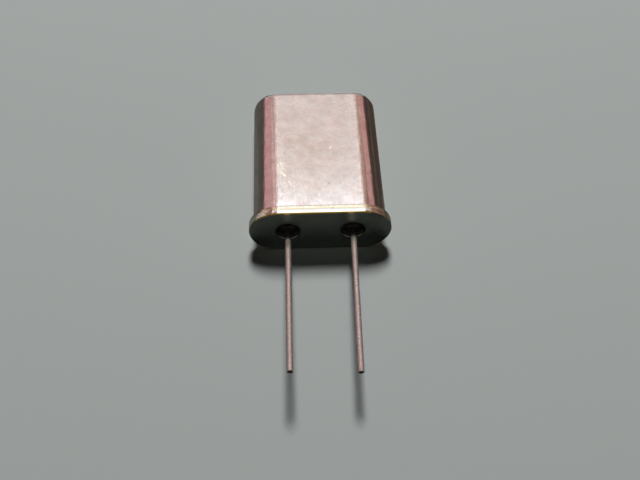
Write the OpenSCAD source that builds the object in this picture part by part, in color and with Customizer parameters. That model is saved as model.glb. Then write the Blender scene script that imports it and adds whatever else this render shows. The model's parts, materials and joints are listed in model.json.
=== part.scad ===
// Through-hole quartz crystal in a tall flat metal can, lying on its broad face.
//
// Every piece is drawn in the crystal's own frame: x runs along the two leads, z runs up
// from the seating face of the header to the closed end of the can, and the front is
// towards -y. lying_down() then lays the whole crystal on its back on the plane z = 0,
// which it touches with the rim of its flange and with the far end of the can.

/* [Can] */
// Width of the drawn can over its round sides
can_width = 9.98; // [9.4:0.02:10.6]
// Depth of the drawn can from front to back
can_depth = 3.8; // [3.5:0.05:4.2]
// Height of the can from the weld seam to its closed end
can_height = 12.6; // [11.8:0.1:14]
// Thickness of the can's sheet metal, in its walls and in its flange
can_sheet = 0.25; // [0.18:0.01:0.3]
// Outer radius where the walls turn into the closed end
can_end_radius = 0.8; // [0.5:0.05:1.2]
// Outer radius where the walls turn out into the weld flange
flange_bend_radius = 0.12; // [0.06:0.01:0.16]

/* [Header] */
// How far both weld flanges stand out round the can
flange_overhang = 0.35; // [0.3:0.01:0.45]
// Thickness of the header's flange
header_flange = 0.45; // [0.3:0.01:0.6]
// Height of the raised boss that stands inside the can
boss_height = 0.75; // [0.4:0.05:1]
// Clearance between the boss and the inside of the can
boss_gap = 0.1; // [0.05:0.01:0.2]
// Radius on the upper edge of the boss
boss_edge_radius = 0.15; // [0.05:0.01:0.25]
// Radius on the outer edges of both weld flanges away from the weld seam
rim_radius = 0.06; // [0.03:0.01:0.08]
// Radius on the edges of both weld flanges along the weld seam
seam_edge_radius = 0.01; // [0.01:0.01:0.05]

/* [Leads and seals] */
// Distance between the two leads at the header, centre to centre
lead_pitch = 4.88; // [4.5:0.02:5.2]
// Diameter of the lead wire
lead_dia = 0.43; // [0.35:0.01:0.5]
// Length of each lead outside the header, along the wire
lead_length = 12.2; // [6:0.1:20]
// Length of wire that leaves the header straight, before it bends
lead_stub = 0.5; // [0.2:0.1:1.5]
// Radius of the bend, at the middle of the wire
lead_bend_radius = 6; // [2:0.5:12]
// Angle by which the left lead leans to the front
left_lean_angle = 6.3; // [0.5:0.1:12]
// Angle by which the right lead leans to the front
right_lean_angle = 4.6; // [0.5:0.1:12]
// Angle by which the left lead leans away from the right one
left_splay_angle = 0.4; // [-3:0.1:3]
// Angle by which the right lead leans away from the left one
right_splay_angle = -1.6; // [-3:0.1:3]
// Diameter of the holes in the header that the glass fills
seal_dia = 1.8; // [1.5:0.05:2.1]
// Radius on the edges of those holes
eyelet_radius = 0.12; // [0.06:0.01:0.18]
// Depth of the hollow in each end of the glass
meniscus_depth = 0.1; // [0.04:0.01:0.15]
// Diameter of the headed inner end of a lead
lead_head_dia = 0.95; // [0.7:0.05:1.2]
// Thickness of the headed inner end of a lead
lead_head = 0.15; // [0.1:0.01:0.25]
// Length of lead between the header's boss and the headed end
lead_inner = 0.4; // [0.2:0.05:0.8]

/* [Resonator] */
// Diameter of the quartz blank
blank_dia = 8; // [7.6:0.05:8.4]
// Thickness of the quartz blank, which sets its frequency
blank_thickness = 0.4; // [0.2:0.02:0.5]
// Bevel on the edges of the quartz blank
blank_bevel = 0.05; // [0.02:0.01:0.06]
// Height of the middle of the blank over the header's boss
blank_height = 6.2; // [5.6:0.1:6.8]
// Diameter of the round spot of each electrode
electrode_dia = 4.6; // [3.5:0.1:5.5]
// Width of the tab from each electrode to the edge of the blank
electrode_tab = 0.8; // [0.5:0.05:0.9]
// Thickness of the electrode film
electrode_film = 0.03; // [0.02:0.01:0.05]

/* [Spring clips] */
// Thickness of the strip that the clips are bent from
clip_strip = 0.12; // [0.08:0.01:0.14]
// Width of that strip
clip_width = 1; // [0.9:0.05:1.1]
// How far the edge of the blank reaches past the inner face of a clip
clip_bite = 0.2; // [0.19:0.01:0.25]
// Inner radius of the bend at the foot of a clip
clip_bend_radius = 0.4; // [0.25:0.05:0.6]
// Length by which the slot of a clip runs past the edge of the blank, above and below
clip_slot_margin = 0.12; // [0.05:0.01:0.2]
// Length of strip between the slot and the flared tip
clip_tip = 0.35; // [0.2:0.05:0.6]
// Inner radius of the flared tip
clip_flare_radius = 0.3; // [0.2:0.05:0.4]
// Radius of the drop of adhesive that holds the blank in a clip
adhesive_radius = 0.65; // [0.6:0.01:0.7]

/* [Smoothness] */
// Facets on a full circle in the preview
$fn = 96; // [32:8:160]

/* [Hidden] */

LEFT = -1;
RIGHT = 1;
FRONT = -1;
REAR = 1;

// All the upright walls are swept round one outline with round sides. Its middle stretch has
// this length, and each wall is then given by its distance from the mid-plane.
straight_width = can_width - can_depth;
can_half = can_depth / 2;
can_inside_half = can_half - can_sheet;
flange_half = can_half + flange_overhang;
boss_half = can_inside_half - boss_gap;

// Heights over the seating face
seam_z = header_flange;
can_top_z = seam_z + can_height;
boss_top_z = seam_z + boss_height;
lead_head_z = boss_top_z + lead_inner;
clip_foot_z = lead_head_z + lead_head;
blank_z = boss_top_z + blank_height;

lead_x = lead_pitch / 2;
lead_r = lead_dia / 2;
seal_r = seal_dia / 2;
// How far a straight stretch of wire runs into the bend, and how much thicker the bend is
bend_overlap = 0.05;
bend_swell = 0.002;

blank_r = blank_dia / 2;
clip_inner_x = blank_r - clip_bite;
clip_outer_x = clip_inner_x + clip_strip;
// Half the height over which the round blank reaches past the inner face of a clip
blank_reach = sqrt(pow(blank_r, 2) - pow(clip_inner_x, 2));
clip_slot_half = blank_reach + clip_slot_margin;
clip_flare_angle = 45;

// The crystal lies on the upper arc of the can's rim and on the arc at the can's far end. The
// tilt is that of the line that touches both arcs.
rim_centre_z = seam_z + can_sheet - rim_radius;
end_centre_z = can_top_z - can_end_radius;
rest_rise = flange_half - rim_radius - can_half + can_end_radius;
rest_run = end_centre_z - rim_centre_z;
rest_tilt = atan2(rest_rise, rest_run)
          - asin((can_end_radius - rim_radius) / norm([rest_rise, rest_run]));
rest_height = (flange_half - rim_radius) * cos(rest_tilt)
            + rim_centre_z * sin(rest_tilt) + rim_radius;
// Brings the middle of the crystal's length over the origin
rest_shift = (lead_length - can_top_z) / 2;

// Lays the crystal on its back, with its closed end towards +y and its front upwards.
module lying_down() {
    translate([0, rest_shift, rest_height])
        rotate([-90 - rest_tilt, 0, 0])
            children();
}

// Swaps left and right for what is drawn on the right-hand side.
module on_side(side) {
    mirror([side == LEFT ? 1 : 0, 0, 0])
        children();
}

// The waste between the arc of a rounded corner and the square corner, which lies at
// [radius, radius] from the arc's centre at the origin.
module corner(radius) {
    difference() {
        square(radius);
        circle(radius);
    }
}

// Section of a plate from the mid-plane out to a rounded upper edge.
module plate_section(width, height, radius) {
    difference() {
        square([width, height]);
        translate([width - radius, height - radius])
            corner(radius);
    }
}

// The same with its lower outer edge rounded too.
module rim_section(width, height, low_radius, high_radius) {
    difference() {
        plate_section(width, height, high_radius);
        translate([width - low_radius, low_radius])
            rotate(-90)
                corner(low_radius);
    }
}

// Sweeps a section round the outline with round sides. In the section, x is the distance from
// the mid-plane and y is the height.
module round_sided() {
    for (side = [LEFT, RIGHT])
        translate([side * straight_width / 2, 0, 0])
            rotate(-90 * side)
                rotate_extrude(angle = 180)
                    children();
    rotate([90, 0, 90])
        linear_extrude(height = straight_width, center = true) {
            children();
            mirror([1, 0])
                children();
        }
}

// Sheet metal can, drawn in one piece with its weld flange.
module can() {
    color("#d6cbc6")
        lying_down()
            translate([0, 0, seam_z])
                difference() {
                    round_sided()
                        can_outer_section();
                    round_sided()
                        can_inner_section();
                }
}

module can_outer_section() {
    plate_section(can_half, can_height, can_end_radius);
    rim_section(flange_half, can_sheet, seam_edge_radius, rim_radius);
    translate([can_half + flange_bend_radius, can_sheet + flange_bend_radius])
        rotate(180)
            corner(flange_bend_radius);
}

module can_inner_section() {
    mouth_radius = flange_bend_radius + can_sheet;
    plate_section(can_inside_half, can_height - can_sheet, can_end_radius - can_sheet);
    translate([can_inside_half + mouth_radius, mouth_radius])
        rotate(180)
            corner(mouth_radius);
}

// Base plate with its weld flange, the boss that centres the can, and two eyelet holes.
module header() {
    color("#4a4f4a")
        lying_down()
            difference() {
                round_sided() {
                    rim_section(flange_half, header_flange, rim_radius, seam_edge_radius);
                    plate_section(boss_half, boss_top_z, boss_edge_radius);
                }
                for (side = [LEFT, RIGHT])
                    translate([side * lead_x, 0, 0])
                        rotate_extrude()
                            eyelet_section();
            }
}

// Section of an eyelet hole, with both edges rounded.
module eyelet_section() {
    square([seal_r, boss_top_z]);
    translate([seal_r + eyelet_radius, eyelet_radius])
        rotate(180)
            corner(eyelet_radius);
    translate([seal_r + eyelet_radius, boss_top_z - eyelet_radius])
        rotate(90)
            corner(eyelet_radius);
}

// Glass between a lead and its hole, hollowed at both ends where it ran up the metal.
module glass_seal(side) {
    low_z = eyelet_radius;
    high_z = boss_top_z - eyelet_radius;
    half_gap = (seal_r - lead_r) / 2;
    meniscus_radius = (pow(half_gap, 2) + pow(meniscus_depth, 2)) / (2 * meniscus_depth);
    offset_z = meniscus_radius - meniscus_depth;
    color("#0c0c0c")
        lying_down()
            translate([side * lead_x, 0, 0])
                rotate_extrude()
                    difference() {
                        translate([lead_r, low_z])
                            square([seal_r - lead_r, high_z - low_z]);
                        for (z = [low_z - offset_z, high_z + offset_z])
                            translate([lead_r + half_gap, z])
                                circle(meniscus_radius);
                    }
}

module left_glass_seal() { glass_seal(LEFT); }
module right_glass_seal() { glass_seal(RIGHT); }

// Lead wire with its headed inner end. Outside the header it bends once, to the front by lean
// and away from the other lead by splay. The straight stretches end inside the bend, which is
// a hair thicker than they are.
module lead(side, lean, splay) {
    bend_angle = atan(norm([tan(lean), tan(splay)]));
    bend_azimuth = atan2(-tan(lean), side * tan(splay));
    bend_length = lead_bend_radius * bend_angle * PI / 180;
    outer_length = lead_length - lead_stub - bend_length;
    color("#b09a94")
        lying_down()
            translate([side * lead_x, 0, 0])
                rotate(bend_azimuth) {
                    translate([0, 0, lead_head_z])
                        cylinder(h = lead_head, d = lead_head_dia);
                    translate([0, 0, -lead_stub - bend_overlap])
                        cylinder(h = lead_head_z + lead_stub + bend_overlap, r = lead_r);
                    translate([lead_bend_radius, 0, -lead_stub]) {
                        rotate([90, 0, 0])
                            rotate(180)
                                rotate_extrude(angle = bend_angle)
                                    translate([lead_bend_radius, 0])
                                        circle(lead_r + bend_swell);
                        rotate([0, -bend_angle, 0])
                            translate([-lead_bend_radius, 0, -outer_length])
                                cylinder(h = outer_length + bend_overlap, r = lead_r);
                    }
                }
}

module left_lead() { lead(LEFT, left_lean_angle, left_splay_angle); }
module right_lead() { lead(RIGHT, right_lean_angle, right_splay_angle); }

// Spring clip: a strip whose foot is welded on the lead's head, bent up along the edge of the
// blank, slotted for it, and flared at its tip.
module spring_clip(side) {
    color("#b8b2a0")
        lying_down()
            clip_shape(side);
}

module clip_shape(side) {
    on_side(side)
        difference() {
            rotate([90, 0, 0])
                linear_extrude(height = clip_width, center = true)
                    clip_section();
            translate([(clip_inner_x + clip_outer_x) / 2, 0, blank_z])
                cube([2 * clip_strip, blank_thickness, 2 * clip_slot_half], center = true);
        }
}

// The clip seen from the front, on the right-hand side.
module clip_section() {
    foot_x = lead_x - lead_head_dia / 2;
    bend_x = clip_inner_x - clip_bend_radius;
    bend_z = clip_foot_z + clip_strip + clip_bend_radius;
    leg_top_z = blank_z + clip_slot_half + clip_tip;
    translate([foot_x, clip_foot_z])
        square([bend_x - foot_x, clip_strip]);
    translate([bend_x, bend_z])
        strip_arc(clip_bend_radius, -90, 0);
    translate([clip_inner_x, bend_z])
        square([clip_strip, leg_top_z - bend_z]);
    translate([clip_outer_x + clip_flare_radius, leg_top_z])
        strip_arc(clip_flare_radius, 180 - clip_flare_angle, 180);
}

// Strip bent about the origin between two angles, which lie up to 90 degrees apart.
module strip_arc(inner_radius, from, to) {
    reach = 2 * (inner_radius + clip_strip);
    intersection() {
        difference() {
            circle(inner_radius + clip_strip);
            circle(inner_radius);
        }
        polygon([[0, 0], for (a = [from, (from + to) / 2, to]) reach * [cos(a), sin(a)]]);
    }
}

module left_spring_clip() { spring_clip(LEFT); }
module right_spring_clip() { spring_clip(RIGHT); }

// Round blank with bevelled edges, upright between the clips.
module quartz_blank() {
    color("#e6eef0", 0.6)
        lying_down()
            blank_shape();
}

module blank_shape() {
    half = blank_thickness / 2;
    translate([0, 0, blank_z])
        rotate([90, 0, 0])
            rotate_extrude()
                polygon([[0, -half], [blank_r - blank_bevel, -half], [blank_r, -half + blank_bevel],
                         [blank_r, half - blank_bevel], [blank_r - blank_bevel, half], [0, half]]);
}

// Electrode on one face of the blank: a round spot, and a tab that runs out to one clip.
module electrode_shape(face, tab_side) {
    translate([0, face * (blank_thickness + electrode_film) / 2, blank_z])
        rotate([90, 0, 0])
            linear_extrude(height = electrode_film, center = true)
                on_side(tab_side) {
                    circle(d = electrode_dia);
                    translate([0, -electrode_tab / 2])
                        square([clip_inner_x, electrode_tab]);
                }
}

module front_electrode() {
    color("#c9ccd0")
        lying_down()
            electrode_shape(FRONT, LEFT);
}

module rear_electrode() {
    color("#c9ccd0")
        lying_down()
            electrode_shape(REAR, RIGHT);
}

// Drop of conductive adhesive, set round the edge of the blank, the clip and the tab.
module adhesive(side, face) {
    color("#9a958c")
        lying_down()
            difference() {
                translate([side * (clip_inner_x + clip_outer_x) / 2, 0, blank_z])
                    sphere(adhesive_radius);
                blank_shape();
                clip_shape(side);
                electrode_shape(face, side);
            }
}

module left_adhesive() { adhesive(LEFT, FRONT); }
module right_adhesive() { adhesive(RIGHT, REAR); }

can();
header();
left_glass_seal();
right_glass_seal();
left_lead();
right_lead();
left_spring_clip();
right_spring_clip();
quartz_blank();
front_electrode();
rear_electrode();
left_adhesive();
right_adhesive();
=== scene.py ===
"""Looks of a through-hole quartz crystal that lies on its broad face.

Lengths are in millimetres in the crystal's own frame, as a maker's drawing gives them: x runs
from the left lead to the right one, z runs up from the seating face to the closed end, and the
front is towards -y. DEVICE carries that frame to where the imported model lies, in metres.
"""
import json
import math

import bmesh
import bpy
from mathutils import Matrix, Vector


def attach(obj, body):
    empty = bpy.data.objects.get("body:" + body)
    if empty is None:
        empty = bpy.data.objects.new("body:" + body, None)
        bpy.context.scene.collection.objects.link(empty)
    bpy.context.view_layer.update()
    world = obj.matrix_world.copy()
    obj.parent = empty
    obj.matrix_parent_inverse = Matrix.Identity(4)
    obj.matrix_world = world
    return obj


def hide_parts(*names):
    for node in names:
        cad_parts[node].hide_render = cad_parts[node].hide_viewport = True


MM = 0.001

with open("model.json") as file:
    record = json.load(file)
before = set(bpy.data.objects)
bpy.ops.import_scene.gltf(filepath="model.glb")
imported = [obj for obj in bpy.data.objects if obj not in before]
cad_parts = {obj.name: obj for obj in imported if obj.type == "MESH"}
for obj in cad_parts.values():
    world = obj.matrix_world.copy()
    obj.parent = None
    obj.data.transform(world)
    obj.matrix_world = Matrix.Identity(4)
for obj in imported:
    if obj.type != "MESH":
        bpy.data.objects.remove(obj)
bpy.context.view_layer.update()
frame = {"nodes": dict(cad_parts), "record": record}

# ---------------------------------------------------------------- driving dimensions
STRAIGHT = 6.18            # straight middle of the outline with round sides
CAN_HALF = 1.9             # mid-plane to the outside of the can
CAN_HEIGHT = 12.6
CAN_SHEET = 0.25
END_RADIUS = 0.8           # walls to the closed end
FLANGE_BEND = 0.12         # walls to the weld flange
FLANGE_HALF = 2.25         # mid-plane to the edge of both weld flanges
RIM_RADIUS = 0.06          # outer edges of both flanges
SEAM_RADIUS = 0.01         # their edges along the weld seam
HEADER_FLANGE = 0.45
BOSS_HALF = 1.55
BOSS_HEIGHT = 0.75
BOSS_EDGE = 0.15
SEAL_RADIUS = 0.9
EYELET_RADIUS = 0.12
MENISCUS_DEPTH = 0.1
LEAD_X = 2.44
LEAD_RADIUS = 0.215
LEAD_STUB = 0.5            # straight wire below the header
LEAD_BEND = 6.0            # radius of the bend at the middle of the wire
LEAD_LENGTH = 12.2
LEAD_INNER = 0.4           # wire above the boss
LEAD_CUT = 0.03            # rounding where the wire was cut
HEAD_RADIUS = 0.475
HEAD_THICKNESS = 0.15
HEAD_EDGE = 0.02

CAN_INSIDE = CAN_HALF - CAN_SHEET
CAN_TOP = HEADER_FLANGE + CAN_HEIGHT
BOSS_TOP = HEADER_FLANGE + BOSS_HEIGHT
LEAD_TOP = BOSS_TOP + LEAD_INNER
HOLE_RADIUS = SEAL_RADIUS + EYELET_RADIUS

LEFT, RIGHT = -1, 1
SIDE_NAMES = {LEFT: "left", RIGHT: "right"}

# ---------------------------------------------------------------- fineness of the meshes
ROUND_SIDE_STEPS = 64      # round one round side of the outline
STRAIGHT_SIDE_STEPS = 24   # along one of its straight sides
HOLE_STEPS = 96            # round an eyelet hole and the glass in it
WIRE_STEPS = 40            # round a lead
BEND_STEPS = 12            # along a lead's bend
REACH_STEPS = 20           # along the straight wire after the bend
END_STEPS = 16             # over the edge of the closed end
MENISCUS_STEPS = 16
CORNER_STEPS = 8
RIM_STEPS = 6
SMALL_EDGE_STEPS = 4       # over an edge along the seam or round the cut of a lead
RUN_GUARD = 0.02           # share of a stretch between its end and the nearest point of its own
SAME_POINT = 1e-5
SAME_LEVEL = 1e-4
NO_LENGTH = 1e-6

# ---------------------------------------------------------------- the crystal's own frame
mounts = {mount["name"]: mount for mount in frame["record"]["mounts"]}
seat = mounts["seating_face"]
up = -Vector(seat["axis"]).normalized()
across = Vector((1, 0, 0))
rear = up.cross(across)
turn = Matrix((across, rear, up)).transposed().to_4x4()
DEVICE = Matrix.Translation(seat["pos_m"]) @ turn @ Matrix.Scale(MM, 4)
DOWN = Vector((0, 0, -1))  # the way a lead leaves the header, in the crystal's frame


def lead_direction(side):
    """The way a lead's outer stretch runs, in the crystal's frame."""
    axis = Vector(mounts[SIDE_NAMES[side] + "_lead"]["axis"])
    return (turn.to_3x3().transposed() @ axis).normalized()


# ---------------------------------------------------------------- camera
# It looks at AIM from a distance, turned from +Y towards +X by HEADING and down by PITCH, and
# its roll turns the picture clockwise by ROLL
AIM = Vector((-0.07, -1.25, 2.27)) * MM
DISTANCE = 59.36 * MM
HEADING = math.radians(3.90)
PITCH = math.radians(56.17)
ROLL = math.radians(1.78)
LENS_MM = 45.0
SENSOR_MM = 36.0
NEAREST_SEEN = 1 * MM
FARTHEST_SEEN = 10.0


def make_camera():
    data = bpy.data.cameras.new("camera")
    data.lens = LENS_MM
    data.sensor_width = SENSOR_MM
    data.clip_start = NEAREST_SEEN
    data.clip_end = FARTHEST_SEEN
    camera = bpy.data.objects.new("camera", data)
    bpy.context.scene.collection.objects.link(camera)
    aim = Matrix.Rotation(-HEADING, 4, "Z") @ Matrix.Rotation(math.pi / 2 - PITCH, 4, "X")
    aim = aim @ Matrix.Rotation(ROLL, 4, "Z")
    camera.matrix_world = Matrix.Translation(AIM + aim @ Vector((0, 0, DISTANCE))) @ aim
    bpy.context.scene.camera = camera


# ---------------------------------------------------------------- mesh helpers
def arc(centre, radius, start, end, steps):
    """Points of an arc between two angles in degrees, both ends included."""
    points = []
    for i in range(steps + 1):
        angle = math.radians(start + (end - start) * i / steps)
        points.append((centre[0] + radius * math.cos(angle), centre[1] + radius * math.sin(angle)))
    return points


def circle(steps):
    """Points of the unit circle, without repeating the first."""
    return arc((0, 0), 1, 0, 360, steps)[:-1]


def run(start, end, steps):
    """Points between two ends of a straight stretch, both left out, with one close to each end
    so that the shading of the stretch stays flat."""
    shares = [RUN_GUARD] + [i / steps for i in range(1, steps)] + [1 - RUN_GUARD]
    return [tuple(a + (b - a) * share for a, b in zip(start, end)) for share in shares]


def outline_stations():
    """Stations round the outline with round sides: a point of the mid-plane and the way out."""
    half = STRAIGHT / 2
    stations = []
    for side, start in ((RIGHT, -90), (LEFT, 90)):
        for x, y in arc((0, 0), 1, start, start + 180, ROUND_SIDE_STEPS):
            stations.append((Vector((side * half, 0, 0)), Vector((x, y, 0))))
        for x, _ in run((side * half, 0), (-side * half, 0), STRAIGHT_SIDE_STEPS):
            stations.append((Vector((x, 0, 0)), Vector((0, side, 0))))
    return stations


def outline_rings(bm, profile):
    """A ring round the outline for each point of a profile of distances and heights."""
    rings = []
    for half, z in profile:
        points = [base + out * half + Vector((0, 0, z)) for base, out in outline_stations()]
        rings.append([bm.verts.new(point) for point in points])
    return rings


def hole_rings(bm, side, profile):
    """A ring round a lead's axis for each point of a profile of radii and heights."""
    rings = []
    for radius, z in profile:
        points = [(side * LEAD_X + radius * x, radius * y, z) for x, y in circle(HOLE_STEPS)]
        rings.append([bm.verts.new(point) for point in points])
    return rings


def skin_rings(bm, rings, closed=False):
    """Joins rings of vertices, each closed on itself, by quads."""
    pairs = list(zip(rings, rings[1:]))
    if closed:
        pairs.append((rings[-1], rings[0]))
    for low, high in pairs:
        count = len(low)
        for i in range(count):
            j = (i + 1) % count
            bm.faces.new((low[i], low[j], high[j], high[i]))


def at_level(edge, z):
    return all(abs(vert.co.z - z) < SAME_LEVEL for vert in edge.verts)


def fill_level(bm, z):
    """Fills the flat face that the open edges at one height bound."""
    level = [edge for edge in bm.edges if edge.is_boundary and at_level(edge, z)]
    bmesh.ops.triangle_fill(bm, edges=level, use_beauty=True)


def finish_piece(bm, name, node, material):
    """Turns a mesh in the crystal's frame into the piece that stands for a CAD node."""
    bmesh.ops.remove_doubles(bm, verts=bm.verts, dist=SAME_POINT)
    bmesh.ops.dissolve_degenerate(bm, dist=NO_LENGTH, edges=bm.edges)
    bmesh.ops.recalc_face_normals(bm, faces=bm.faces)
    bm.transform(DEVICE)
    mesh = bpy.data.meshes.new(name)
    bm.to_mesh(mesh)
    bm.free()
    mesh.shade_smooth()
    mesh.materials.append(material)
    piece = bpy.data.objects.new(name, mesh)
    bpy.context.scene.collection.objects.link(piece)
    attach(piece, "root")
    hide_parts(node)


# ---------------------------------------------------------------- material helpers
CORE = 0.5                 # share of a spot's radius within which it has its full strength


class Finish:
    """A finish of one material, built up from nodes over a plain colour, metallic and roughness,
    which stand wherever nodes aren't followed. Points and lengths are given to it in
    millimetres of the crystal's frame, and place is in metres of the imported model."""

    def __init__(self, name, colour, metallic, roughness):
        self.material = bpy.data.materials.new(name)
        self.material.use_nodes = True
        self.tree = self.material.node_tree
        self.shader = self.tree.nodes["Principled BSDF"]
        self.set("Base Color", (*colour, 1))
        self.set("Metallic", metallic)
        self.set("Roughness", roughness)
        self.place = self.tree.nodes.new("ShaderNodeTexCoord").outputs["Object"]

    def set(self, socket, value):
        self.shader.inputs[socket].default_value = value

    def drive(self, socket, output):
        self.tree.links.new(output, self.shader.inputs[socket])

    def node(self, kind, inputs=None, **settings):
        made = self.tree.nodes.new("ShaderNode" + kind)
        for key, value in settings.items():
            setattr(made, key, value)
        for key, value in (inputs or {}).items():
            if isinstance(value, bpy.types.NodeSocket):
                self.tree.links.new(value, made.inputs[key])
            else:
                made.inputs[key].default_value = value
        return made

    def math(self, operation, first, second=0.0):
        return self.node("Math", {0: first, 1: second}, operation=operation).outputs[0]

    def times(self, first, second):
        return self.math("MULTIPLY", first, second)

    def square(self, value):
        return self.times(value, value)

    def ramp(self, value, low, high, out_low=0.0, out_high=1.0):
        """Maps low..high of a value to out_low..out_high, clamped."""
        inputs = {"Value": value, "From Min": low, "From Max": high}
        inputs.update({"To Min": out_low, "To Max": out_high})
        return self.node("MapRange", inputs).outputs["Result"]

    def fade(self, value, start, end):
        """1 up to a first value, falling to 0 at a second one."""
        return self.ramp(value, start, end, 1.0, 0.0)

    def any_of(self, shares):
        """The greatest of several shares."""
        most = 0.0
        for share in shares:
            most = self.math("MAXIMUM", share, most)
        return most

    def vector(self, operation, first, second=(0, 0, 0)):
        """The vector that an operation on two vectors gives."""
        return self.node("VectorMath", {0: first, 1: second}, operation=operation).outputs[0]

    def size_of(self, offset):
        """The length of a vector."""
        return self.node("VectorMath", {0: offset}, operation="LENGTH").outputs["Value"]

    def along(self, axis):
        """Place along an axis of the crystal's own frame."""
        reach = self.node("VectorMath", {0: self.place, 1: axis / MM}, operation="DOT_PRODUCT")
        return self.math("SUBTRACT", reach.outputs["Value"], Vector(seat["pos_m"]).dot(axis) / MM)

    def from_midline(self):
        """Distance from the straight middle of the outline with round sides."""
        beyond = self.math("SUBTRACT", self.math("ABSOLUTE", self.along(across)), STRAIGHT / 2)
        beyond = self.square(self.math("MAXIMUM", beyond, 0.0))
        return self.math("SQRT", self.math("ADD", beyond, self.square(self.along(rear))))

    def from_leads(self):
        """Distance from the axis of the nearer lead where it passes the header."""
        beside = self.math("SUBTRACT", self.math("ABSOLUTE", self.along(across)), LEAD_X)
        beside = self.square(beside)
        return self.math("SQRT", self.math("ADD", beside, self.square(self.along(rear))))

    def near(self, point, radius, stretch=(1, 1, 1)):
        """1 round a point, falling to 0 at a radius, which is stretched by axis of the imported
        model."""
        offset = self.vector("SUBTRACT", self.place, DEVICE @ Vector(point))
        scale = tuple(1 / (MM * radius * factor) for factor in stretch)
        offset = self.vector("MULTIPLY", offset, scale)
        return self.fade(self.size_of(offset), CORE, 1.0)

    def near_line(self, start, end, radius):
        """1 along a line between two points, falling to 0 at a radius."""
        start, end = DEVICE @ Vector(start), DEVICE @ Vector(end)
        line = end - start
        offset = self.vector("SUBTRACT", self.place, start)
        inputs = {0: offset, 1: line / line.length_squared}
        reach = self.node("VectorMath", inputs, operation="DOT_PRODUCT").outputs["Value"]
        inputs = {0: line, "Scale": self.ramp(reach, 0.0, 1.0)}
        nearest = self.node("VectorMath", inputs, operation="SCALE").outputs[0]
        away = self.size_of(self.vector("SUBTRACT", offset, nearest))
        return self.fade(away, CORE * radius * MM, radius * MM)

    def noise(self, size, stretch=(1, 1, 1), detail=3.0, roughness=0.5):
        """Noise from 0 to 1 whose blotches are about size across, stretched by axis of the
        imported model."""
        scale = tuple(1 / MM / factor for factor in stretch)
        place = self.node("Mapping", {"Vector": self.place, "Scale": scale}).outputs["Vector"]
        inputs = {"Vector": place, "Scale": 1 / size, "Detail": detail, "Roughness": roughness}
        return self.node("TexNoise", inputs).outputs["Fac"]

    def mix(self, share, first, second, blend="MIX"):
        """Mixes two colours by a share."""
        made = self.node("Mix", data_type="RGBA", blend_type=blend)
        # The node has sockets for numbers and vectors between those for the share and the colours
        for value, index in ((share, 0), (first, 6), (second, 7)):
            socket = made.inputs[index]
            if isinstance(value, bpy.types.NodeSocket):
                self.tree.links.new(value, socket)
            elif isinstance(value, float):
                socket.default_value = value
            else:
                socket.default_value = (*value, 1)
        return made.outputs[2]

    def tint(self, colour, tint, share=1.0):
        """Multiplies a colour by a tint, by a share."""
        return self.mix(share, colour, tint, "MULTIPLY")

    def bump(self, height, depth, normal=None):
        """Bump of a height from 0 to 1 that is depth deep."""
        inputs = {"Height": height, "Distance": depth * MM}
        if normal is not None:
            inputs["Normal"] = normal
        return self.node("Bump", inputs).outputs["Normal"]


# ---------------------------------------------------------------- marks of use and of the weld
GOLD = (0.82, 0.57, 0.20)
STRAW = (0.98, 0.90, 0.58)
COPPER = (0.40, 0.255, 0.18)
BRIGHT = (0.97, 0.96, 0.93)
CREAM = (1.0, 0.91, 0.72)
OXIDE_AND_SHADE = (0.10, 0.10, 0.085)
GLASS_SKIN_AND_SHADE = (0.06, 0.052, 0.045)
SPECK_ON_CAN = (0.45, 0.33, 0.30)
SPECK_ON_RIM = (0.45, 0.33, 0.20)

# Bright nicks in the front, each with its two ends and its radius
NICKS = [
    ((-2.89, -CAN_HALF, 4.36), (-2.78, -CAN_HALF, 4.16), 0.12),
    ((-2.65, -CAN_HALF, 4.06), (-2.54, -CAN_HALF, 3.90), 0.13),
    ((-3.10, -CAN_HALF, 4.96), (-3.06, -CAN_HALF, 4.84), 0.11),
    ((-2.86, -CAN_HALF, 5.19), (-2.81, -CAN_HALF, 5.05), 0.09),
    ((-2.26, -CAN_HALF, 3.31), (-2.22, -CAN_HALF, 3.21), 0.07),
    ((1.03, -CAN_HALF, 6.67), (1.05, -CAN_HALF, 6.59), 0.07),
]
NICK_STRENGTH = 0.85
# A tan patch and a pale rub mark in the front, each with its radius and how that is stretched
TAN_PATCH = ((-1.0, -CAN_HALF, 5.2), 3.4, (1, 1.4, 1))
RUB_MARK = ((-2.85, -CAN_HALF, 4.7), 1.0, (0.5, 1, 1))
# Dark specks, each with its radius
SPECKS = [((0.75, -CAN_HALF, 3.01), 0.08), ((0.87, -FLANGE_HALF, 0.42), 0.08)]
# Where the weld burnt the rim, each with its radius and how that is stretched
BURNS = [((-3.80, -2.13, 0.35), 0.45, (1, 1, 1)), ((4.25, -1.9, 0.30), 1.0, (1, 1, 0.6))]
# Cream spatter beside the burns, partly a painted glint that the key lamp lights, each patch with
# its two ends and its radius
SPATTER_AND_GLINTS = [
    ((-3.98, -2.06, 0.36), (-4.65, -1.66, 0.14), 0.26),
    ((3.42, -2.22, 0.32), (3.55, -2.21, 0.22), 0.13),
]
# How matt the metal is in a burn and under spatter
BURN_MATT = 0.5
SPATTER_MATT = 0.8
# Heights over which the tints by the weld and along the rim's lower edge fade
WARM_ON_CAN = (HEADER_FLANGE + 0.2, HEADER_FLANGE + 0.55)
STRAW_ON_CAN = (HEADER_FLANGE + 0.02, HEADER_FLANGE + 0.05)
STRAW_ON_HEADER = (HEADER_FLANGE - 0.08, HEADER_FLANGE - 0.05)
GOLD_ON_HEADER = (0.05, 0.10)
# Distances from the midline over which the rim's plate gives way to the dark underside, which is
# painted shade
RIM_PLATE = (FLANGE_HALF - 0.19, FLANGE_HALF - 0.15)
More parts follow.
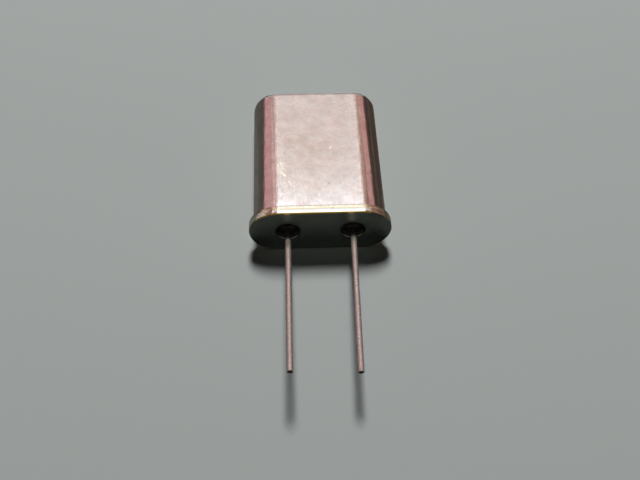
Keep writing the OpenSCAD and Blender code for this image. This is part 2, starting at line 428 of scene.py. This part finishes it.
# How far below the header each wire is darkened, partly by a skin of glass that ran down it and
# partly as painted shade near the header; the dark starts in the seal
SKIN_AND_SHADE_DEPTHS = {LEFT: 0.50, RIGHT: 0.35}
SKIN_AND_SHADE_FROM = 0.3
SKIN_AND_SHADE_RADIUS = 2.4 * LEAD_RADIUS
# A thin stain of the same skin and painted shade further down the left wire, with its radius
STAIN_AND_SHADE = ((LEFT * LEAD_X, -LEAD_RADIUS, -1.30), 0.45)
STAIN_AND_SHADE_STRENGTH = 0.28
# Heights between which each wire is painted paler, a painted light where the can's shade leaves it
# dim
PAINTED_LIGHT_HEIGHTS = (-1.2, -1.7)
PAINTED_LIGHT_RADIUS = 0.9


def nicked(finish):
    return finish.any_of([finish.near_line(*nick) for nick in NICKS])


def specked(finish):
    return finish.any_of([finish.near(*speck) for speck in SPECKS])


def burnt(finish):
    """Ragged patches where the weld current was strongest."""
    burns = finish.any_of([finish.near(*burn) for burn in BURNS])
    ragged = finish.math("ADD", burns, finish.noise(size=0.3, detail=3.0, roughness=0.7))
    return finish.ramp(ragged, 0.9, 1.1)


def spatter_and_glints(finish):
    patches = finish.any_of([finish.near_line(*patch) for patch in SPATTER_AND_GLINTS])
    return finish.times(patches, finish.ramp(finish.noise(size=0.14, detail=2.0), 0.35, 0.6))


# ---------------------------------------------------------------- finishes
def plate_colour(finish, mottle):
    """Nickel plate, mottled and tinted in blotches of all sizes, with a tan patch and a pale
    rub mark by the left edge."""
    pale, deep = (0.87, 0.797, 0.766), (0.705, 0.62, 0.59)
    rosy, cool = (1.0, 0.95, 0.935), (0.95, 0.975, 0.975)
    dimmer, plain = (0.91, 0.91, 0.91), (1.0, 1.0, 1.0)
    tan = (0.945, 0.91, 0.865)
    blotches = finish.noise(size=0.9, detail=7.0, roughness=0.8)
    colour = finish.mix(finish.ramp(mottle, 0.38, 0.62), pale, deep)
    colour = finish.tint(colour, finish.mix(finish.ramp(blotches, 0.38, 0.62), rosy, cool))
    speckle = finish.ramp(finish.noise(size=0.16, detail=2.0), 0.35, 0.65)
    colour = finish.tint(colour, finish.mix(speckle, dimmer, plain))
    patch = finish.times(finish.near(*TAN_PATCH), finish.ramp(mottle, 0.3, 0.6))
    colour = finish.tint(colour, tan, patch)
    scuffs = finish.ramp(finish.noise(size=0.25), 0.4, 0.65, 0.1, 0.6)
    return finish.mix(finish.times(finish.near(*RUB_MARK), scuffs), colour, BRIGHT)


def can_finish():
    """Satin plate with a fine drawn grain, a few bright nicks and a speck, and towards the weld
    a warm tint, burns and a line of straw."""
    warm = (1.0, 0.98, 0.84)
    finish = Finish("can_metal", (0.76, 0.69, 0.66), metallic=1.0, roughness=0.15)
    mottle = finish.noise(size=1.3, detail=7.0, roughness=0.8)
    nicks = nicked(finish)
    burns = burnt(finish)
    height = finish.along(up)
    colour = finish.mix(finish.times(nicks, NICK_STRENGTH), plate_colour(finish, mottle), CREAM)
    colour = finish.mix(specked(finish), colour, SPECK_ON_CAN)
    colour = finish.tint(colour, warm, finish.fade(height, *WARM_ON_CAN))
    colour = finish.mix(burns, colour, COPPER)
    colour = finish.mix(finish.fade(height, *STRAW_ON_CAN), colour, STRAW)
    finish.drive("Base Color", colour)
    finish.drive("Metallic", finish.ramp(burns, 0.0, 1.0, 1.0, 1.0 - BURN_MATT))
    finish.drive("Roughness", finish.ramp(mottle, 0.3, 0.7, 0.12, 0.18))
    drawn = finish.noise(size=0.17, stretch=(1, 6, 1), detail=1.0)
    normal = finish.bump(drawn, depth=0.007)
    finish.drive("Normal", finish.bump(nicks, depth=0.002, normal=normal))
    return finish.material


def underside_shade_and_oxide(finish):
    """Underside of the header painted dark and greenish, a painted shade and a painted reflection
    of a shadowed table, darkest in the eyelets, partly oxide and partly painted shade, and,
    towards the rear, over their lips as painted shade."""
    deep, pale = (0.24, 0.28, 0.255), (0.26, 0.295, 0.265)
    sheen = finish.ramp(finish.noise(size=1.5), 0.35, 0.65)
    # The oxide and painted shade end at the glass in front, and just beyond the lip of the hole at
    # the rear
    oxide_and_shade_edge = finish.ramp(finish.along(rear), 0.1, 0.6, SEAL_RADIUS, HOLE_RADIUS + 0.02)
    beyond_oxide_and_shade = finish.math("SUBTRACT", finish.from_leads(), oxide_and_shade_edge)
    return finish.mix(finish.ramp(beyond_oxide_and_shade, -0.05, 0.05), OXIDE_AND_SHADE, finish.mix(sheen, deep, pale))


def rim_colour(finish, rim, height, burns, spatter_glint):
    """Bright plate, straw along the weld and golden along the lower edge, with burns, a speck and
    cream spatter that partly paints glints."""
    plate = (0.93, 0.955, 0.94)
    colour = finish.mix(finish.ramp(height, *STRAW_ON_HEADER), plate, STRAW)
    colour = finish.mix(finish.times(rim, finish.fade(height, *GOLD_ON_HEADER)), colour, GOLD)
    colour = finish.mix(burns, colour, COPPER)
    colour = finish.mix(specked(finish), colour, SPECK_ON_RIM)
    # Cream spatter, partly a painted glint
    return finish.mix(spatter_glint, colour, CREAM)


def header_finish():
    """Smooth plated rim with burns and cream spatter that partly paints glints, and a duller
    underside painted dark as painted shade.
    """
    # Its plain colour is the underside's painted shade
    finish = Finish("header_metal", (0.2, 0.2, 0.18), metallic=1.0, roughness=0.12)
    height = finish.along(up)
    rim = finish.ramp(finish.from_midline(), *RIM_PLATE)
    burns = burnt(finish)
    spatter_glint = spatter_and_glints(finish)
    plate = rim_colour(finish, rim, height, burns, spatter_glint)
    # The plate covers the side of the rim, and the edge of the underside only towards the front
    front = finish.fade(finish.along(rear), -2.1, -1.0)
    side = finish.ramp(height, 0.005, 0.03)
    plated = finish.times(rim, finish.math("MAXIMUM", front, side))
    # Painted shade: where the plate doesn't reach, the underside takes its dark painted colour
    finish.drive("Base Color", finish.mix(plated, underside_shade_and_oxide(finish), plate))
    burn_matt = finish.times(burns, BURN_MATT)
    spatter_matt = finish.times(spatter_glint, SPATTER_MATT)
    matt = finish.math("MAXIMUM", burn_matt, spatter_matt)
    finish.drive("Metallic", finish.math("SUBTRACT", 1.0, matt))
    grain = finish.noise(size=0.2, detail=3.0)
    underside_roughness = finish.ramp(grain, 0.3, 0.7, 0.29, 0.33)
    smoother = finish.ramp(rim, 0.0, 1.0, 0.0, 0.19)
    finish.drive("Roughness", finish.math("SUBTRACT", underside_roughness, smoother))
    normal = finish.bump(grain, depth=0.0003)
    normal = finish.bump(burns, depth=0.01, normal=normal)
    finish.drive("Normal", finish.bump(spatter_glint, depth=0.04, normal=normal))
    return finish.material


def glass_finish():
    """Black glass with a faint ripple."""
    finish = Finish("seal_glass", (0.022, 0.020, 0.014), metallic=0.0, roughness=0.06)
    ripple = finish.noise(size=0.3, detail=2.0)
    finish.drive("Roughness", finish.ramp(ripple, 0.3, 0.7, 0.04, 0.1))
    finish.drive("Normal", finish.bump(ripple, depth=0.002))
    return finish.material


def wire_line(side, start, end):
    """Both ends of a stretch of a lead's axis between two heights."""
    return (side * LEAD_X, 0, start), (side * LEAD_X, 0, end)


def wire_end(side):
    """The middle of the cut at the far end of a lead."""
    point, way = lead_path(side)[-1]
    return point + way * LEAD_CUT


def wire_colour(finish, pits):
    """Tin with fine pits and bright specks, painted paler near the header as painted light, and
    dark where it was sheared and, near the header, partly where glass wetted it and partly as
    painted shade."""
    pitted, plain = (0.62, 0.53, 0.50), (0.76, 0.66, 0.63)
    pale = (0.86, 0.74, 0.65)
    sheared_core = (0.10, 0.08, 0.07)
    colour = finish.mix(finish.ramp(pits, 0.4, 0.6), pitted, plain)
    colour = finish.mix(finish.ramp(pits, 0.62, 0.7, 0.0, 0.8), colour, BRIGHT)
    sheared = finish.any_of([finish.near(wire_end(side), LEAD_RADIUS) for side in (LEFT, RIGHT)])
    colour = finish.mix(sheared, colour, sheared_core)
    # Painted light: each wire paler on a stretch near the header
    painted_light_lines = [wire_line(side, *PAINTED_LIGHT_HEIGHTS) for side in (LEFT, RIGHT)]
    painted_light = finish.any_of([finish.near_line(*line, PAINTED_LIGHT_RADIUS) for line in painted_light_lines])
    colour = finish.mix(painted_light, colour, pale)
    # Dark skin of glass near the header and a stain on the left wire, partly painted shade
    colour = finish.mix(finish.times(finish.near(*STAIN_AND_SHADE), STAIN_AND_SHADE_STRENGTH), colour, GLASS_SKIN_AND_SHADE)
    skin_and_shade_lines = [wire_line(side, SKIN_AND_SHADE_FROM, -depth) for side, depth in SKIN_AND_SHADE_DEPTHS.items()]
    skin_and_shade = finish.any_of([finish.near_line(*line, SKIN_AND_SHADE_RADIUS) for line in skin_and_shade_lines])
    return finish.mix(skin_and_shade, colour, GLASS_SKIN_AND_SHADE)


def lead_finish():
    """Tinned wire, streaked along its length by drawing and finely pitted."""
    finish = Finish("lead_wire", (0.70, 0.60, 0.57), metallic=0.8, roughness=0.42)
    streak = finish.noise(size=0.05, stretch=(1, 12, 1), detail=3.0)
    pits = finish.noise(size=0.12, stretch=(1, 1.6, 1), detail=3.0, roughness=0.6)
    finish.drive("Base Color", wire_colour(finish, pits))
    finish.drive("Roughness", finish.ramp(streak, 0.3, 0.7, 0.34, 0.5))
    normal = finish.bump(streak, depth=0.003)
    finish.drive("Normal", finish.bump(pits, depth=0.006, normal=normal))
    return finish.material


def clip_finish():
    """Rolled spring strip: fine lines along the strip and a faint warm tarnish."""
    clean, tarnished = (0.62, 0.59, 0.52), (0.55, 0.47, 0.36)
    finish = Finish("clip_metal", (0.60, 0.56, 0.48), metallic=1.0, roughness=0.3)
    lines = finish.noise(size=0.03, stretch=(20, 1, 20), detail=2.0)
    tarnish = finish.ramp(finish.noise(size=0.6, detail=3.0), 0.4, 0.65)
    finish.drive("Base Color", finish.mix(tarnish, clean, tarnished))
    finish.drive("Roughness", finish.ramp(lines, 0.3, 0.7, 0.22, 0.4))
    finish.drive("Normal", finish.bump(lines, depth=0.002))
    return finish.material


def quartz_finish():
    """Lapped crystal: clear, with a fine frost on its ground faces."""
    finish = Finish("quartz", (0.93, 0.96, 0.97), metallic=0.0, roughness=0.3)
    finish.set("IOR", 1.544)
    finish.set("Transmission Weight", 0.9)
    frost = finish.noise(size=0.05, detail=4.0, roughness=0.7)
    finish.drive("Roughness", finish.ramp(frost, 0.3, 0.7, 0.22, 0.42))
    finish.drive("Normal", finish.bump(frost, depth=0.002))
    return finish.material


def electrode_finish():
    """Evaporated silver that follows the lapped face, dulled a little in patches."""
    bright, dulled = (0.92, 0.91, 0.89), (0.82, 0.80, 0.74)
    finish = Finish("electrode_silver", (0.90, 0.89, 0.86), metallic=1.0, roughness=0.3)
    frost = finish.noise(size=0.05, detail=4.0, roughness=0.7)
    dull = finish.ramp(finish.noise(size=1.2, detail=3.0), 0.4, 0.65)
    finish.drive("Base Color", finish.mix(dull, bright, dulled))
    finish.drive("Roughness", finish.ramp(frost, 0.3, 0.7, 0.26, 0.4))
    finish.drive("Normal", finish.bump(frost, depth=0.002))
    return finish.material


def adhesive_finish():
    """Cured resin full of silver flakes."""
    resin, flake = (0.42, 0.40, 0.36), (0.75, 0.74, 0.71)
    finish = Finish("adhesive", (0.45, 0.43, 0.39), metallic=0.0, roughness=0.6)
    flakes = finish.ramp(finish.noise(size=0.03, detail=2.0), 0.55, 0.65)
    lumps = finish.noise(size=0.15, detail=4.0)
    finish.drive("Base Color", finish.mix(flakes, resin, flake))
    finish.drive("Metallic", flakes)
    finish.drive("Roughness", finish.ramp(flakes, 0.0, 1.0, 0.65, 0.35))
    finish.drive("Normal", finish.bump(lumps, depth=0.02))
    return finish.material


INNER_FINISHES = {
    "clip_metal": clip_finish,
    "quartz": quartz_finish,
    "electrode_silver": electrode_finish,
    "adhesive": adhesive_finish,
}


def finish_inner_nodes():
    """Gives the sealed pieces, which keep their CAD shapes, the finishes of their slots."""
    made = {slot: build() for slot, build in INNER_FINISHES.items()}
    for subpart in frame["record"]["subparts"]:
        material = made.get(subpart["material_slot"])
        if material is None:
            continue
        for holder in frame["nodes"][subpart["node"]].material_slots:
            holder.material = material


# ---------------------------------------------------------------- pieces
def can_profile():
    """Section of the can from the middle of its closed end, down the outside and up the inside."""
    mouth = FLANGE_BEND + CAN_SHEET
    mouth_z = HEADER_FLANGE + mouth
    inner_end = END_RADIUS - CAN_SHEET
    rim = FLANGE_HALF - RIM_RADIUS
    rim_z = HEADER_FLANGE + CAN_SHEET - RIM_RADIUS
    seam = FLANGE_HALF - SEAM_RADIUS
    end_z = CAN_TOP - END_RADIUS
    corners = [
        [(0, CAN_TOP)],
        arc((CAN_HALF - END_RADIUS, end_z), END_RADIUS, 90, 0, END_STEPS),
        arc((CAN_HALF + FLANGE_BEND, mouth_z), FLANGE_BEND, 180, 270, CORNER_STEPS),
        arc((rim, rim_z), RIM_RADIUS, 90, 0, RIM_STEPS),
        arc((seam, HEADER_FLANGE + SEAM_RADIUS), SEAM_RADIUS, 0, -90, SMALL_EDGE_STEPS),
        arc((CAN_INSIDE + mouth, mouth_z), mouth, 270, 180, CORNER_STEPS),
        arc((CAN_INSIDE - inner_end, end_z), inner_end, 0, 90, CORNER_STEPS),
        [(0, CAN_TOP - CAN_SHEET)],
    ]
    # Steps of the straight stretch from each corner to the next
    steps_between = [4, 24, 2, 1, 2, 6, 2]
    points = list(corners[0])
    for before, after, steps in zip(corners, corners[1:], steps_between):
        points += run(before[-1], after[0], steps) + after
    return points


def make_can(material):
    bm = bmesh.new()
    skin_rings(bm, outline_rings(bm, can_profile()))
    finish_piece(bm, "drawn_can", "can", material)


def make_header(material):
    """Plate with its weld flange and raised boss, with two holes whose lips are rounded."""
    rim = FLANGE_HALF - RIM_RADIUS
    seam = (FLANGE_HALF - SEAM_RADIUS, HEADER_FLANGE - SEAM_RADIUS)
    band = arc((rim, RIM_RADIUS), RIM_RADIUS, -90, 0, RIM_STEPS)
    band += arc(seam, SEAM_RADIUS, 0, 90, SMALL_EDGE_STEPS)
    band += [(BOSS_HALF, HEADER_FLANGE)]
    band += arc((BOSS_HALF - BOSS_EDGE, BOSS_TOP - BOSS_EDGE), BOSS_EDGE, 0, 90, CORNER_STEPS)
    hole = arc((HOLE_RADIUS, EYELET_RADIUS), EYELET_RADIUS, 270, 180, CORNER_STEPS)
    hole += arc((HOLE_RADIUS, BOSS_TOP - EYELET_RADIUS), EYELET_RADIUS, 180, 90, CORNER_STEPS)
    bm = bmesh.new()
    skin_rings(bm, outline_rings(bm, band))
    for side in (LEFT, RIGHT):
        skin_rings(bm, hole_rings(bm, side, hole))
    bmesh.ops.remove_doubles(bm, verts=bm.verts, dist=SAME_POINT)
    for z in (0, BOSS_TOP):
        fill_level(bm, z)
    finish_piece(bm, "header_plate", "header", material)


def make_seal(side, material):
    """Glass round a lead, hollowed at both ends where it ran up the metal."""
    half_gap = (SEAL_RADIUS - LEAD_RADIUS) / 2
    radius = (half_gap ** 2 + MENISCUS_DEPTH ** 2) / (2 * MENISCUS_DEPTH)
    swing = math.degrees(math.asin(half_gap / radius))
    middle = LEAD_RADIUS + half_gap
    low = EYELET_RADIUS - radius + MENISCUS_DEPTH
    high = BOSS_TOP - EYELET_RADIUS + radius - MENISCUS_DEPTH
    profile = arc((middle, low), radius, 90 + swing, 90 - swing, MENISCUS_STEPS)
    profile += arc((middle, high), radius, -90 + swing, -90 - swing, MENISCUS_STEPS)
    bm = bmesh.new()
    skin_rings(bm, hole_rings(bm, side, profile), closed=True)
    name = SIDE_NAMES[side]
    finish_piece(bm, name + "_glass_bead", name + "_glass_seal", material)


def lead_path(side):
    """Points down the middle of the wire outside the header, with the way it runs at each."""
    way = lead_direction(side)
    angle = DOWN.angle(way)
    sideways = (way - DOWN * way.dot(DOWN)).normalized()
    knee = Vector((side * LEAD_X, 0, -LEAD_STUB))
    stations = [(knee, DOWN)]
    for i in range(1, BEND_STEPS + 1):
        turned = angle * i / BEND_STEPS
        sine, cosine = math.sin(turned), math.cos(turned)
        point = knee + DOWN * (LEAD_BEND * sine) + sideways * (LEAD_BEND * (1 - cosine))
        stations.append((point, DOWN * cosine + sideways * sine))
    bend_end = stations[-1][0]
    rest = LEAD_LENGTH - LEAD_STUB - LEAD_BEND * angle - LEAD_CUT
    for i in range(1, REACH_STEPS + 1):
        stations.append((bend_end + way * (rest * i / REACH_STEPS), way))
    return stations


def wire_ring(bm, point, way, radius):
    """A ring of the wire round a point, square to the way it runs."""
    x_axis = (across - way * way.dot(across)).normalized()
    y_axis = x_axis.cross(way)
    points = [point + (x_axis * x + y_axis * y) * radius for x, y in circle(WIRE_STEPS)]
    return [bm.verts.new(place) for place in points]


def make_lead(side, material):
    """Wire with its headed inner end, bent once outside the header and cut at its far end."""
    name = SIDE_NAMES[side]
    bm = bmesh.new()
    # Heights and radii from the headed end down to the underside of the header
    inner = [
        (LEAD_TOP + HEAD_THICKNESS, HEAD_RADIUS - HEAD_EDGE),
        (LEAD_TOP + HEAD_THICKNESS - HEAD_EDGE, HEAD_RADIUS),
        (LEAD_TOP + HEAD_EDGE, HEAD_RADIUS),
        (LEAD_TOP, HEAD_RADIUS - HEAD_EDGE),
        (LEAD_TOP, LEAD_RADIUS),
        (LEAD_TOP - HEAD_EDGE, LEAD_RADIUS),
        (0, LEAD_RADIUS),
    ]
    rings = [wire_ring(bm, Vector((side * LEAD_X, 0, z)), DOWN, radius) for z, radius in inner]
    path = lead_path(side)
    rings += [wire_ring(bm, point, way, LEAD_RADIUS) for point, way in path]
    end, way = path[-1]
    for inset, reach in arc((0, 0), LEAD_CUT, 0, 90, SMALL_EDGE_STEPS)[1:]:
        rings.append(wire_ring(bm, end + way * reach, way, LEAD_RADIUS - LEAD_CUT + inset))
    skin_rings(bm, rings)
    bm.faces.new(rings[0])
    bm.faces.new(rings[-1])
    finish_piece(bm, name + "_wire", name + "_lead", material)


# ---------------------------------------------------------------- stage
FLOOR_HALF = 2.0
FLOOR_SEEN = (0.60, 0.64, 0.62)
# How far from the middle the floor starts to fade, and where it has gone
FLOOR_FADES = (40 * MM, 110 * MM)
BACKDROP = (0.37, 0.395, 0.385)
ROOM_LIGHT = (0.002, 0.002, 0.002)
ROOM_MIRRORED = (0.068, 0.048, 0.040)
FLOOR_MIRRORED = (0.165, 0.165, 0.15)
# Stretches of the floor with another shade in mirrors, painted reflections that set the metal's
# light and shade, each with its two ends, its radius and its shade; under the header the floor in
# the crystal's shadow is mirrored as lit, a painted light. A later one lies over an earlier one
MIRRORED_STRETCHES = {
    "left": ((-11, FLANGE_HALF, 3), (-11, FLANGE_HALF, 10), 8, (0.215, 0.225, 0.205)),
    "right": ((13, FLANGE_HALF, 12), (16, FLANGE_HALF, 26), 10, (0.115, 0.085, 0.062)),
    "behind": ((0, 0, CAN_TOP + 6), (0, 0, CAN_TOP + 60), 8, (0.80, 0.76, 0.76)),
    "under_header": ((-2.9, FLANGE_HALF, 0), (2.9, FLANGE_HALF, 0), 2.4, FLOOR_SEEN),
}

PANEL_DISTANCE = 400 * MM
# Each panel has its azimuths, its elevations and its radiance. The key lamp, high behind the
# crystal, lights what is matt, and the cards show only in mirrors
KEY_LAMP = ((-12, 14), (54.5, 71), (32.0, 32.0, 32.0))
CARDS = {
    "high": ((-12, 24), (50.5, 75), (1.75, 2.0, 2.15)),
    "back": ((-5, 12), (21, 50.5), (0.83, 0.785, 0.775)),
    "horizon": ((-32, 32), (0, 21), (0.50, 0.46, 0.47)),
    "left_border": ((-13, -5), (17, 50.5), (0.63, 0.54, 0.52)),
    "left_edge": ((-24, -13), (17, 50.5), (0.42, 0.33, 0.32)),
    "right_border": ((12, 21), (18, 50.5), (0.68, 0.57, 0.54)),
    "right_edge": ((21, 32), (18, 50.5), (0.42, 0.29, 0.24)),
    "left": ((-80, -24), (16.5, 58), (0.55, 0.33, 0.35)),
    "right": ((32, 80), (18, 37), (0.53, 0.305, 0.30)),
    "right_high": ((32, 80), (37, 58), (0.29, 0.17, 0.16)),
    "left_low": ((-80, -30), (0, 16.5), (0.03, 0.032, 0.033)),
    "overhead": ((120, 240), (62, 105), (0.65, 0.6, 0.56)),
    "front": ((105, 255), (3, 58), (0.42, 0.43, 0.43)),
    "left_side": ((-110, -80), (5, 58), (0.5, 0.48, 0.46)),
    "right_side": ((80, 110), (5, 58), (0.5, 0.48, 0.46)),
}


def floor_finish():
    """A pale floor, which far out fades into the backdrop. Only the camera sees it so: in mirrors,
    and as light thrown back, it has painted shades, most of it darker, which paint the reflections
    and light in the metal."""
    finish = Finish("floor", FLOOR_SEEN, metallic=0.0, roughness=0.8)
    finish.set("Specular IOR Level", 0.0)
    mirrored = FLOOR_MIRRORED
    # Painted reflections: shades the metal mirrors in stretches of the floor
    for start, end, radius, shade in MIRRORED_STRETCHES.values():
        mirrored = finish.mix(finish.near_line(start, end, radius), mirrored, shade)
    far = finish.ramp(finish.size_of(finish.place), *FLOOR_FADES)
    seen = finish.node("LightPath").outputs["Is Camera Ray"]
    lit = finish.mix(far, FLOOR_SEEN, (0.0, 0.0, 0.0))
    finish.drive("Base Color", finish.mix(seen, mirrored, lit))
    finish.set("Emission Color", (*BACKDROP, 1))
    finish.drive("Emission Strength", finish.times(far, seen))
    return finish.material


def make_floor(material):
    signs = ((-1, -1), (1, -1), (1, 1), (-1, 1))
    corners = [(x * FLOOR_HALF, y * FLOOR_HALF, 0) for x, y in signs]
    mesh = bpy.data.meshes.new("floor")
    mesh.from_pydata(corners, [], [(0, 1, 2, 3)])
    mesh.materials.append(material)
    floor = bpy.data.objects.new("floor", mesh)
    bpy.context.scene.collection.objects.link(floor)


def panel(name, azimuths, elevations, radiance, card=True):
    """A soft panel that fills a range of azimuths, from +Y towards +X, and one of elevations, as
    seen from the crystal, in degrees. A card only shows in reflections, and any other panel
    only lights what is matt."""
    ranges = (azimuths, elevations)
    azimuth, elevation = (math.radians((start + end) / 2) for start, end in ranges)
    half_wide, half_high = (math.radians((end - start) / 2) for start, end in ranges)
    strength = max(radiance)
    data = bpy.data.lights.new(name, "AREA")
    data.shape = "RECTANGLE" if card else "ELLIPSE"
    data.size = 2 * PANEL_DISTANCE * math.tan(half_wide) * math.cos(elevation)
    data.size_y = 2 * PANEL_DISTANCE * math.tan(half_high)
    data.energy = strength * math.pi * data.size * data.size_y
    data.color = [value / strength for value in radiance]
    light = bpy.data.objects.new(name, data)
    bpy.context.scene.collection.objects.link(light)
    light.visible_diffuse = not card
    light.visible_glossy = card
    out = Vector((math.sin(azimuth), math.cos(azimuth), 0)) * math.cos(elevation)
    out.z = math.sin(elevation)
    light.location = out * PANEL_DISTANCE
    light.rotation_euler = out.to_track_quat("Z", "Y").to_euler()


def make_lights():
    panel("key", *KEY_LAMP, card=False)
    for name, card in CARDS.items():
        panel(name + "_card", *card)


def make_world():
    """A dim room. It has one shade for the camera, one for mirrors and one as light."""
    world = bpy.data.worlds.new("world")
    bpy.context.scene.world = world
    world.use_nodes = True
    nodes, links = world.node_tree.nodes, world.node_tree.links
    path = nodes.new("ShaderNodeLightPath")
    nodes["Background"].inputs["Color"].default_value = (*ROOM_LIGHT, 1)
    shade = nodes["Background"].outputs[0]
    for ray, colour in (("Is Glossy Ray", ROOM_MIRRORED), ("Is Camera Ray", BACKDROP)):
        background = nodes.new("ShaderNodeBackground")
        background.inputs["Color"].default_value = (*colour, 1)
        switch = nodes.new("ShaderNodeMixShader")
        links.new(path.outputs[ray], switch.inputs[0])
        links.new(shade, switch.inputs[1])
        links.new(background.outputs[0], switch.inputs[2])
        shade = switch.outputs[0]
    links.new(shade, nodes["World Output"].inputs["Surface"])


make_camera()
make_floor(floor_finish())
make_lights()
make_world()
make_can(can_finish())
make_header(header_finish())
glass, wire = glass_finish(), lead_finish()
for lead_side in (LEFT, RIGHT):
    make_seal(lead_side, glass)
    make_lead(lead_side, wire)
finish_inner_nodes()
bpy.context.scene.view_settings.view_transform = "Standard"
